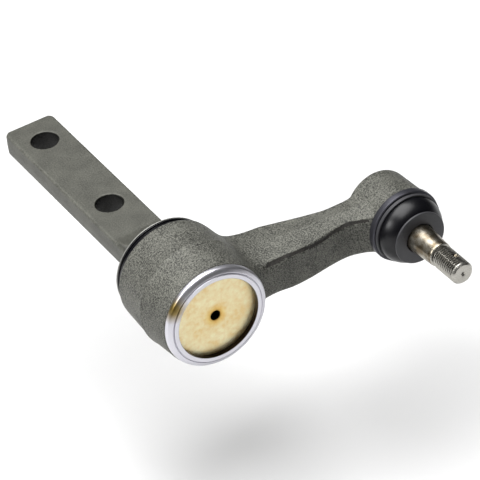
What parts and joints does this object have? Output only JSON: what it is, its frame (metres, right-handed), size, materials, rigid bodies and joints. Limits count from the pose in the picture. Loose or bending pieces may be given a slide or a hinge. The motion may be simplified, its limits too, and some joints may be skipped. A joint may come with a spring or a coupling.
{
  "type": "idler arm",
  "caption": "Steering idler arm: a forged arm swings on a flat frame bracket's spindle and carries a booted ball stud at its end.",
  "frame": {"origin": "midway between the two frame bolt holes, on the bar's top face", "axes": "+Z out of the bar's top face, along the frame bolts; +Y to the bar's free end, away from the housing; +X to the side that the arm points to"},
  "size_m": [0.18, 0.2668, 0.0678],
  "materials": {
    "bar_steel": "plain forged steel, smooth and lightly oiled",
    "forged_steel": "as-forged steel, shot-blasted to a fine sparkling grain",
    "bright_steel": "turned bright steel",
    "zinc_plate": "yellow-chromated zinc plate",
    "boot_rubber": "glossy black rubber",
    "ring_grey": "matte dark grey",
    "bushing_bronze": "plain bronze",
    "race_plastic": "natural off-white acetal"
  },
  "bodies": {
    "bracket": {"bracket": "bar_steel", "rear_thrust_washer": "bright_steel", "front_thrust_washer": "bright_steel", "disc_spring": "bright_steel", "spindle_nut": "bright_steel", "nut_split_pin": "bright_steel"},
    "arm": {"arm_forging": "forged_steel", "rear_seal": "boot_rubber", "rear_bushing": "bushing_bronze", "front_bushing": "bushing_bronze", "cover_o_ring": "boot_rubber", "pivot_cover": "zinc_plate", "ball_race": "race_plastic", "pressure_seat": "race_plastic", "preload_spring": "bright_steel", "socket_cover": "zinc_plate", "dust_boot": "boot_rubber", "boot_band": "ring_grey"},
    "stud_swing": {"boot_lip_ring": "ring_grey"},
    "stud": {"ball_stud": "bright_steel"}
  },
  "joints": [
    {"name": "arm_pivot", "type": "hinge", "parent": "bracket", "child": "arm", "pos_m": [0, -0.129, -0.0076], "axis": [0, 1, 0], "range_deg": [-45, 45]},
    {"name": "stud_tilt", "type": "hinge", "parent": "arm", "child": "stud_swing", "pos_m": [0.124, -0.1441, -0.0076], "axis": [0, 0, 1], "range_deg": [-15, 15], "deforming": ["dust_boot"]},
    {"name": "stud_spin", "type": "hinge", "parent": "stud_swing", "child": "stud", "pos_m": [0.124, -0.1441, -0.0076], "axis": [0.0175, -0.9998, 0], "continuous": true}
  ]
}
